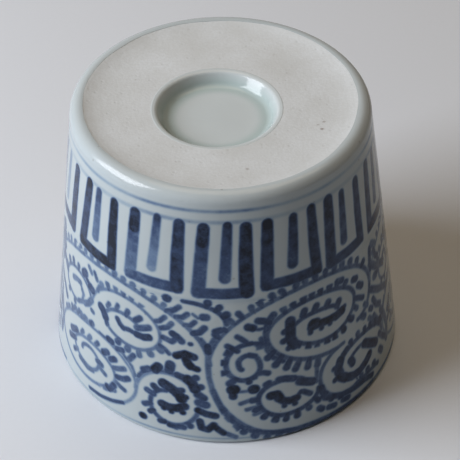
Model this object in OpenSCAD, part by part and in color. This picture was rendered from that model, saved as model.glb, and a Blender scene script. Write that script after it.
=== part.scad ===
// Soba choko: a small porcelain dipping cup with blue painting and a clear glaze,
// standing mouth down with its snake-eye foot on top.
// The lip rests on Z = 0, the axis of the cup is Z and the foot is at Z = height.

/* [Cup] */
// Outer diameter that the wall reaches at the lip
mouth_d = 80; // [74:1:92]
// Outer diameter that the wall would reach at the top of the foot
foot_d = 64.6; // [60:0.2:72]
// Height from the lip to the top of the foot rim
height = 65; // [58:1:76]

/* [Wall] */
// Thickness of the wall at the lip
lip_t = 2.8; // [2.4:0.1:4.2]
// Rounding of both edges of the lip
lip_r = 0.9; // [0.5:0.1:1]
// Thickness of the wall at the inner floor
foot_wall_t = 4.6; // [3.6:0.1:6]
// Thickness of the base between the well and the inner floor
base_t = 4; // [2.5:0.1:6]
// Rounding between the inner wall and the inner floor
floor_r = 9; // [4:0.5:14]

/* [Foot] */
// Rounding of the shoulder between the wall and the foot rim
shoulder_r = 2.4; // [1.6:0.1:3.2]
// Width of the flat crest that the cup stands on when it is upright
crest_w = 0.4; // [0.2:0.1:1]
// Height of the crest above the bare ring
rim_h = 1.2; // [0.8:0.1:2]
// Width of the slope from the crest down to the bare ring
slope_w = 1.5; // [1:0.1:3]
// Diameter of the well in the middle of the foot
well_d = 26.8; // [20:0.2:34]
// Depth of the well below the bare ring
well_depth = 2.8; // [2.5:0.1:4]
// Rounding of the well's edge
well_edge_r = 0.9; // [0.4:0.1:1.2]
// Rounding between the well's side and its floor
well_floor_r = 1.5; // [0.8:0.1:1.8]

/* [Glaze] */
// Thickness of the clear glaze
glaze_t = 0.35; // [0.25:0.05:0.5]
// Thickness of the painted layer on the glaze
paint_t = 0.08; // [0.06:0.02:0.16]

/* [Ring lines] */
// Width of each painted ring line
ring_line_w = 0.7; // [0.4:0.1:1]
// Distance of the foot line below the crest
foot_line_drop = 4; // [3.6:0.1:4.6]
// Distance of the band line below the crest
band_line_drop = 6.1; // [5.6:0.1:6.3]
// Height of the lip line above the lip
lip_line_z = 1.5; // [1.5:0.1:2.1]

/* [Lappets] */
// Number of lappets round the cup
lappet_count = 14; // [10:1:16]
// Distance of the lappets' tops below the crest
lappet_drop = 6.8; // [6.8:0.1:8]
// Height of a lappet
lappet_h = 18.8; // [16:0.2:20]
// Width of a lappet at its tops
lappet_w = 12; // [10.6:0.2:12.2]
// Width of a lappet's strokes
lappet_stroke = 2.5; // [1.6:0.1:2.8]
// Length of the bar that hangs inside a lappet
bar_l = 14.4; // [10:0.2:14.4]

/* [Scroll] */
// Width of the scroll's line
scroll_line_w = 1; // [0.6:0.1:1.1]
// Length of the scroll's teeth
tooth_l = 1.2; // [0.6:0.1:1.3]
// Distance from tooth to tooth along the line
tooth_pitch = 2.6; // [2.2:0.1:3.2]
// Width of a spiral's line at its inner end
comma_w = 1.6; // [1:0.1:1.8]
// Length over which a spiral's line swells to that width
comma_l = 6; // [3:0.5:8]
// Gap between the scroll and the lappets above it, and the lip line below it
scroll_gap = 0.6; // [0.4:0.1:1.2]

/* [Hidden] */
$fn = 180;

mouth_r = mouth_d / 2;
wall_fall = (mouth_d - foot_d) / 2 / height;
wall_tilt = atan(wall_fall);
ring_z = height - rim_h;
crest_out_r = mouth_r - wall_fall * (height - shoulder_r) - shoulder_r / cos(wall_tilt);
crest_in_r = crest_out_r - crest_w;
ring_r = crest_in_r - slope_w;
well_z = ring_z - well_depth;
floor_z = well_z - base_t;
inner_mouth_r = mouth_r - lip_t;
inner_floor_r = mouth_r - wall_fall * floor_z - foot_wall_t;
inner_tilt = atan((inner_mouth_r - inner_floor_r) / floor_z);
margin = 5;

// The painted layer lies between these heights, where the wall is straight.
paint_margin = 0.2;
paint_bottom = lip_r + paint_margin;
paint_top = height - shoulder_r - paint_margin;

// Strokes are cut from near the wall, for outlines that reach this far to each side in degrees.
stroke_reach = 32;
stroke_near = foot_d / 2 * cos(stroke_reach);

// The scroll is drawn between these heights and then fitted between the lip line and the lappets.
drawn_bottom = 1.4;
drawn_top = 38.6;
lappet_top = height - lappet_drop;
lappet_bottom = lappet_top - lappet_h;
field_bottom = lip_line_z + ring_line_w / 2 + scroll_gap + scroll_line_w / 2;
field_top = lappet_bottom - scroll_gap - scroll_line_w / 2;
field_scale = (field_top - field_bottom) / (drawn_top - drawn_bottom);
field_r = mouth_r - wall_fall * lappet_bottom / 2;
mm_per_degree = field_r * PI / 180;

porcelain = [0.86, 0.85, 0.82];
clear_glaze = [0.88, 0.91, 0.94];
celadon = [0.78, 0.83, 0.80];
pale_blue = [0.55, 0.62, 0.75];
mid_blue = [0.30, 0.38, 0.58];
dark_blue = [0.16, 0.20, 0.36];

// Radius of the outer wall at a height, set in by a distance square to the wall.
function wall_r(z, inset = 0) = mouth_r - wall_fall * z - inset / cos(wall_tilt);

// Half section of everything inside the cup's outer skin, set in by a distance.
module outer_section(inset) {
    lip = [wall_r(lip_r, lip_r), lip_r];
    shoulder = [crest_out_r, height - shoulder_r];
    away = [cos(wall_tilt), sin(wall_tilt)];
    lip_side = lip + (lip_r - inset) * away;
    shoulder_side = shoulder + (shoulder_r - inset) * away;
    polygon([
        [0, inset], [lip.x, inset], lip, lip_side, shoulder_side, shoulder,
        [shoulder.x, height - inset], [0, height - inset]
    ]);
    translate(lip)
        circle(lip_r - inset);
    translate(shoulder)
        circle(shoulder_r - inset);
}

// Half section of the hollow inside, grown by a distance into the wall.
module hollow_section(grow) {
    lip = [inner_mouth_r + lip_r * (1 - sin(inner_tilt)) / cos(inner_tilt), lip_r];
    corner_z = floor_z - floor_r;
    corner_r = inner_mouth_r - corner_z * tan(inner_tilt) - floor_r / cos(inner_tilt);
    away = [cos(inner_tilt), sin(inner_tilt)];
    lip_side = lip - (lip_r - grow) * away;
    corner_side = [corner_r, corner_z] + (floor_r + grow) * away;
    difference() {
        polygon([
            [0, -margin], [lip.x, -margin], lip, lip_side, corner_side,
            [corner_r, corner_z], [corner_r, floor_z + grow], [0, floor_z + grow]
        ]);
        translate(lip)
            circle(lip_r - grow);
    }
    intersection() {
        translate([corner_r, corner_z])
            circle(floor_r + grow);
        square([mouth_r, height]);
    }
}

// Half section of the sunk foot inside the crest, grown by a distance into the clay.
module recess_section(grow) {
    slope = atan2(rim_h, slope_w);
    sideways = grow / sin(slope);
    polygon([
        [0, ring_z], [ring_r + sideways, ring_z],
        [crest_in_r + sideways + margin / tan(slope), height + margin], [0, height + margin]
    ]);
}

// Half section of the well, grown by a distance, with a rounded edge and a rounded floor.
module well_section(grow) {
    r = well_d / 2;
    edge = [r + well_edge_r, ring_z - well_edge_r];
    foot = [r - well_floor_r, well_z + well_floor_r];
    difference() {
        polygon([
            [0, well_z - grow], [foot.x, well_z - grow], foot, [r + grow, foot.y],
            [r + grow, edge.y], [edge.x, edge.y], [edge.x, ring_z + margin], [0, ring_z + margin]
        ]);
        translate(edge)
            circle(well_edge_r - grow);
    }
    intersection() {
        translate(foot)
            circle(well_floor_r + grow);
        square([mouth_r, height]);
    }
}

// Half section of the thin layer that the painting is cut from, on the face of the glaze.
module paint_section() {
    polygon([
        [wall_r(paint_bottom), paint_bottom], [wall_r(paint_bottom, -paint_t), paint_bottom],
        [wall_r(paint_top, -paint_t), paint_top], [wall_r(paint_top), paint_top]
    ]);
}

// A ring of the painted layer between two heights.
module painted_ring(z) {
    rotate_extrude()
        intersection() {
            paint_section();
            translate([0, z - ring_line_w / 2])
                square([mouth_r + margin, ring_line_w]);
        }
}

// Flat outline of points given as degrees and heights, as seen square to the wall at its middle.
function facing(points, middle) = [
    for (p = points) [wall_r(p.y) * sin(p.x - middle), p.y]
];

// A stroke of the painted layer, cut by an outline of degrees round the cup and heights.
module painted_stroke(points, middle) {
    intersection() {
        rotate_extrude()
            paint_section();
        rotate([90, 0, middle])
            translate([0, 0, stroke_near])
                linear_extrude(mouth_r + margin - stroke_near)
                    polygon(facing(points, middle));
    }
}

// A point on the quarter of an ellipse between a level and an upright turning point.
function quarter(from, to, level_first, s) =
    level_first
        ? [from.x + (to.x - from.x) * sin(90 * s), to.y + (from.y - to.y) * cos(90 * s)]
        : [to.x + (from.x - to.x) * cos(90 * s), from.y + (to.y - from.y) * sin(90 * s)];

// Points along a line of quarter ellipses, with millimetres both ways.
quarter_steps = 8;
function line_points(turns, level_first) = [
    for (i = [0 : len(turns) - 2])
        for (s = [i == 0 ? 0 : 1 : quarter_steps])
            let (level = i % 2 == 0 ? level_first : !level_first)
                let (p = quarter(turns[i], turns[i + 1], level, s / quarter_steps))
                    [p.x * mm_per_degree, p.y]
];

function running_length(points, i = 0, so_far = 0) =
    i == len(points) - 1
        ? [so_far]
        : concat([so_far], running_length(points, i + 1, so_far + norm(points[i + 1] - points[i])));

// A brush line along turning points, with a round end. A toothed one has teeth on its outer side, but for
// the first few of them, and swells towards its inner end.
function brush_outline(turns, level_first, toothed, bare) =
    let (
        points = line_points(turns, level_first),
        lengths = running_length(points),
        total = lengths[len(lengths) - 1],
        xs = [for (i = [0 : len(points) - 1]) [lengths[i], points[i].x]],
        ys = [for (i = [0 : len(points) - 1]) [lengths[i], points[i].y]],
        teeth = floor(total / tooth_pitch),
        pitch = total / teeth,
        first = points[1] - points[0],
        next = points[2] - points[1],
        outer = first.x * next.y - first.y * next.x < 0 ? 1 : -1,
        tooth_shape = toothed ? [[0, 0], [0.3, 1], [0.7, 1]] : [[0, 0], [0.5, 0]],
        at = function (d) [lookup(d, xs), lookup(d, ys)],
        along = function (d)
            let (step = at(min(d + 0.1, total)) - at(max(d - 0.1, 0)))
                step / norm(step),
        away = function (d) outer * [-along(d).y, along(d).x],
        half = function (d)
            let (swell = toothed ? max(0, 1 - (total - d) / comma_l) : 0)
                (scroll_line_w + (comma_w - scroll_line_w) * swell) / 2,
        outside = [
            for (k = [0 : teeth - 1])
                for (c = tooth_shape)
                    let (d = (k + c[0]) * pitch)
                        at(d) + away(d) * (half(d) + (k < bare ? 0 : tooth_l * c[1]))
        ],
        round_end = [
            for (a = [0 : 45 : 180])
                at(total) + half(total) * (away(total) * cos(a) + along(total) * sin(a))
        ],
        inside = [
            for (k = [2 * teeth - 1 : -1 : 0])
                let (d = k * pitch / 2)
                    at(d) - away(d) * half(d)
        ]
    )
    concat(outside, round_end, inside);

// Degrees and true heights of an outline that was drawn on the flat field.
function on_field(outline, start, spread) = [
    for (p = outline)
        [start + p.x / mm_per_degree * spread, field_bottom + (p.y - drawn_bottom) * field_scale]
];

// Each scroll line lists its turning points as degrees and heights on the drawn field. They are by turns
// level and upright. The first number says whether the first of them is level, the second how many teeth
// are left out at the line's start.
vines = [
    [0, 0, [0, 27], [38, 37.8], [77.4, 21]],
    [0, 0, [77.4, 21], [103, 2.3], [141, 8]],
    [0, 0, [78.6, 23], [114, 38.6], [141, 29]]
];
spirals = [
    [0, 0, [28.7, 25.6], [44, 33.3], [60.3, 26.2], [49, 20.6], [36, 25], [45, 29.2], [51.2, 26.8],
        [47, 24.8]],
    [0, 0, [51.8, 9], [63, 17.1], [73.2, 9.5], [65, 3.2], [56, 8], [63.5, 13.3], [68.5, 10.3],
        [64.5, 7.9]],
    [1, 3, [31, 1.4], [50.2, 9.6], [31, 18.4], [8, 10.4], [26, 3.6], [42, 9.2], [29, 15], [17, 9.8],
        [28, 6.6], [33.4, 9.3], [28, 12]],
    [1, 0, [20, 31], [9, 25.4], [17, 21.4], [22.6, 24.5], [18.5, 27.4]],
    [1, 0, [119, 20], [97.3, 28.3], [115, 35.5], [132.3, 29.3], [120, 23.6], [105.2, 28.3], [114, 31.7],
        [124.5, 29]],
    [1, 0, [90, 27], [82.7, 22.2], [88, 18.2], [93.8, 21], [90.5, 24.1]],
    [0, 0, [108.4, 13.4], [101, 16.2], [92.8, 12], [103, 6.7], [113.6, 11]],
    [1, 0, [121, 18.4], [115.4, 12.8], [125, 6.6], [135, 10]],
    [0, 0, [120.3, 13], [131, 17.2], [137, 13.6], [131, 11.4]]
];
// Each pair of scroll groups starts at an angle and is drawn this much narrower.
front_pair = [-83, 1];
back_right_pair = [60, 0.755];
back_left_pair = [168, 0.755];

module porcelain_body() {
    color(porcelain)
        rotate_extrude()
            difference() {
                outer_section(glaze_t);
                hollow_section(glaze_t);
                recess_section(glaze_t);
                well_section(glaze_t);
            }
}

module glaze_coat() {
    color(clear_glaze)
        rotate_extrude()
            difference() {
                outer_section(0);
                hollow_section(0);
                recess_section(0);
                difference() {
                    outer_section(glaze_t);
                    hollow_section(glaze_t);
                    recess_section(glaze_t);
                }
            }
}

module foot_well_glaze() {
    color(celadon)
        rotate_extrude()
            difference() {
                well_section(glaze_t);
                well_section(0);
                translate([0, ring_z])
                    square([mouth_r, height]);
            }
}

module foot_line() {
    color(pale_blue)
        painted_ring(height - foot_line_drop);
}

module band_line() {
    color(pale_blue)
        painted_ring(height - band_line_drop);
}

module lip_line() {
    color(pale_blue)
        painted_ring(lip_line_z);
}

// Share of a stroke's width that its ends are rounded off by.
brush_softness = 0.3;

// Turns a width at the lappets' tops into degrees, which the strokes keep all the way down.
function lappet_degrees(w) = w / wall_r(lappet_top) * 180 / PI;

// The same stroke in each lappet, with its outline drawn round the middle of the lappet.
module in_each_lappet(outline) {
    for (i = [0 : lappet_count - 1])
        rotate([0, 0, i * 360 / lappet_count])
            painted_stroke(outline, 0);
}

module lappet_frames() {
    half = lappet_degrees(lappet_w) / 2;
    leg = lappet_degrees(lappet_stroke);
    soft = leg * brush_softness;
    round_z = lappet_top - lappet_stroke * brush_softness;
    sill_z = lappet_bottom + lappet_stroke;
    color(dark_blue)
        in_each_lappet([
            [-half, round_z], [-half + soft, lappet_top], [-half + leg - soft, lappet_top],
            [-half + leg, round_z], [-half + leg, sill_z], [half - leg, sill_z],
            [half - leg, round_z], [half - leg + soft, lappet_top], [half - soft, lappet_top],
            [half, round_z], [half, lappet_bottom], [-half, lappet_bottom]
        ]);
}

module lappet_bars() {
    half = lappet_degrees(lappet_stroke) / 2;
    soft = half * (1 - 2 * brush_softness);
    round_h = lappet_stroke * brush_softness;
    bar_end = lappet_top - bar_l;
    color(mid_blue)
        in_each_lappet([
            [-half, lappet_top - round_h], [-soft, lappet_top], [soft, lappet_top],
            [half, lappet_top - round_h], [half, bar_end + round_h], [soft, bar_end],
            [-soft, bar_end], [-half, bar_end + round_h]
        ]);
}

module octopus_scroll(pair) {
    color(dark_blue) {
        for (line = vines)
            scroll_stroke(line, pair, false);
        for (line = spirals)
            scroll_stroke(line, pair, true);
    }
}

module scroll_front() {
    octopus_scroll(front_pair);
}

module scroll_back_right() {
    octopus_scroll(back_right_pair);
}

module scroll_back_left() {
    octopus_scroll(back_left_pair);
}

module scroll_stroke(line, pair, toothed) {
    turns = [for (i = [2 : len(line) - 1]) line[i]];
    outline = on_field(brush_outline(turns, line[0] == 1, toothed, line[1]), pair[0], pair[1]);
    degrees = [for (p = outline) p.x];
    painted_stroke(outline, (min(degrees) + max(degrees)) / 2);
}

porcelain_body();
glaze_coat();
foot_well_glaze();
foot_line();
band_line();
lappet_frames();
lappet_bars();
scroll_front();
scroll_back_right();
scroll_back_left();
lip_line();
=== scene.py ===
"""Soba choko cup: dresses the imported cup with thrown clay, clear and green glaze, and cobalt brushwork."""

import bpy
import numpy as np
from bpy.props import FloatProperty, FloatVectorProperty, IntProperty, PointerProperty
from bpy.types import Operator, Panel, PropertyGroup
from mathutils import Matrix, Vector


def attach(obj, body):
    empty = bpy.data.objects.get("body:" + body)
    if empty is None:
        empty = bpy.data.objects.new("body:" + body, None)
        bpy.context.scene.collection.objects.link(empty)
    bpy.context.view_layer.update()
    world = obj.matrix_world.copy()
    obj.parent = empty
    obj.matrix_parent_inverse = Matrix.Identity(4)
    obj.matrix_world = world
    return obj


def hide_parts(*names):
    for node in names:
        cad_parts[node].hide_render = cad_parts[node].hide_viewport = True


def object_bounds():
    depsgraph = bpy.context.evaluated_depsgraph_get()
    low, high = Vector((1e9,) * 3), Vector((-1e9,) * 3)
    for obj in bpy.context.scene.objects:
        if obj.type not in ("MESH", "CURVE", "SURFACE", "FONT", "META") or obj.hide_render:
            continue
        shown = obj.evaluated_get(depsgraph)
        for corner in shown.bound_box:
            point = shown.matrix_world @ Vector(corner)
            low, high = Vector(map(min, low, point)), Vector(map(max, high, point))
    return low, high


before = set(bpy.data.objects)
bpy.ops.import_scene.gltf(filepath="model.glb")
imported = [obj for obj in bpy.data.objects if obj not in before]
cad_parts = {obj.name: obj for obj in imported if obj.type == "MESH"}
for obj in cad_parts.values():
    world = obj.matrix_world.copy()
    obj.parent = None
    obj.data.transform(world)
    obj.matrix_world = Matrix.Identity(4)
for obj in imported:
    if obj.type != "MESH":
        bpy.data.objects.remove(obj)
CAD_LOW, CAD_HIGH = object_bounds()

bl_info = {
    "name": "Soba Choko Cup",
    "version": (1, 0, 0),
    "blender": (4, 5, 0),
    "location": "3D View > Sidebar > Cup",
    "description": "Makes a painted porcelain dipping cup that stands mouth down",
    "category": "Add Mesh",
}

MM = 0.001

# Brushwork of one pair of scrolls. Angles are in degrees round the cup from its painted front, heights above
# the lip, widths and reaches in millimetres. A line turns level and upright by turns: the first number is 1
# where its first point is level. Then come its points, half its width and its strength at both ends, half the
# width of the white tendril that it bounds, and its rows of teeth: first and last quarter, reach and width.
PAIR_START = -83.0
FRONT_SPAN = 143.0
BACK_SPAN = (360 - FRONT_SPAN) / 2
PAIRS = (
    ("scroll_front", PAIR_START, FRONT_SPAN),
    ("scroll_back_right", PAIR_START + FRONT_SPAN, BACK_SPAN),
    ("scroll_back_left", PAIR_START + FRONT_SPAN + BACK_SPAN, BACK_SPAN),
)

LINES = (
    (0, ((-82, 28), (-45, 38.4), (-6, 22)), (0.38, 0.6), (0.45, 0.6), 0.9, ((0.2, 1.5, 1.7, 1.4),)),
    (1, ((51, 22), (59.9, 29), (33, 39.2), (-6, 21.5), (22, 1.2), (78, 1.5)), (0.6, 0.4), (0.62, 0.6), 1.0,
     ((1.3, 2.75, 2.0, 1.5), (3.2, 4.4, 2.2, 1.6))),
    (1, ((-14.5, 38.2), (0, 33)), (0.5, 0.65), (0.8, 0.66), 0.85, ((0.3, 0.9, 1.9, 1.7),)),
    (0, ((-52.5, 27), (-38.5, 34.6), (-22.5, 27.2), (-33, 22), (-45.5, 26.3), (-38, 29.8), (-31, 27.6)),
     (0.42, 0.5), (0.5, 0.64), 0.9, ((0.5, 1.4, 1.8, 1.5), (2.2, 3.4, 1.9, 1.6))),
    (0, ((-31.3, 11), (-20, 18), (-9.5, 10.6), (-18, 4.2), (-25.8, 9), (-20.5, 13)), (0.55, 0.55),
     (0.45, 0.8), 0.9, ((2.5, 3.1, 1.5, 1.4),)),
    (1, ((-48, 2.7), (-31.3, 11), (-50, 20.3), (-74, 12), (-54.8, 4.9), (-40, 10.8), (-52, 15.7),
         (-62.5, 11.8), (-53, 8.3), (-48, 11.2), (-53, 13.9), (-57.3, 12)), (0.4, 0.5), (0.46, 0.58), 0.9,
     ((2.0, 2.5, 1.6, 1.4), (4.2, 4.8, 1.8, 1.5), (9.0, 10.0, 1.4, 1.2))),
    (0, ((-53, 27), (-61.9, 31.6), (-72, 26.7), (-63.7, 23), (-58.3, 26.2), (-62.3, 28.8), (-66.2, 27.6)),
     (0.45, 0.5), (0.55, 0.54), 0.85, ((0.9, 2.0, 1.9, 1.5), (2.4, 3.2, 1.5, 1.3))),
    (1, ((40, 18.6), (14, 28.5), (32, 35.1), (50, 28.9), (37, 22.7), (22.5, 28), (31, 31.1), (41.5, 29)),
     (0.55, 0.55), (0.64, 0.74), 0.95,
     ((0.15, 0.95, 2.9, 1.7), (1.5, 2.6, 1.9, 1.6), (3.6, 4.7, 1.9, 1.6))),
    (1, ((8.5, 27.3), (0, 22.2), (5.5, 17.9), (10.8, 21), (7.8, 24.2), (4.2, 22.4), (4.9, 20.9)), (0.6, 0.62),
     (0.72, 0.7), 0.85, ((0.5, 1.9, 2.3, 1.6), (1.9, 2.4, 1.4, 1.4))),
    (0, ((26.5, 13.2), (18.5, 15.8), (10.2, 11.8), (19.5, 6.4), (31, 10.5)), (0.6, 0.6), (0.72, 0.72), 0.95,
     ((1.8, 3.8, 2.0, 1.5),)),
    (1, ((43, 18.6), (32.2, 12.3), (43.5, 4.9), (60, 4.2)), (0.5, 0.6), (0.6, 0.68), 0.95,
     ((1.3, 2.8, 1.7, 1.6),)),
    (0, ((40, 11.8), (51, 16.7), (65.5, 11.5)), (0.6, 0.6), (0.72, 0.62), 0.8, ((0.4, 1.8, 1.8, 1.5),)),
    (0, ((58.5, 11), (51.5, 14.2), (45.5, 12.2)), (0.45, 0.55), (0.62, 0.7), 0, ()),
)

# White tendrils that no line of their own bounds: half width, and the points that they pass.
TENDRILS = (
    (0.85, ((-8.8, 22.7), (-8.6, 19), (-7.6, 16.2), (-6.2, 13.1), (-4.6, 10), (-2.8, 7.2), (1, 3.7))),
)

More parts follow.
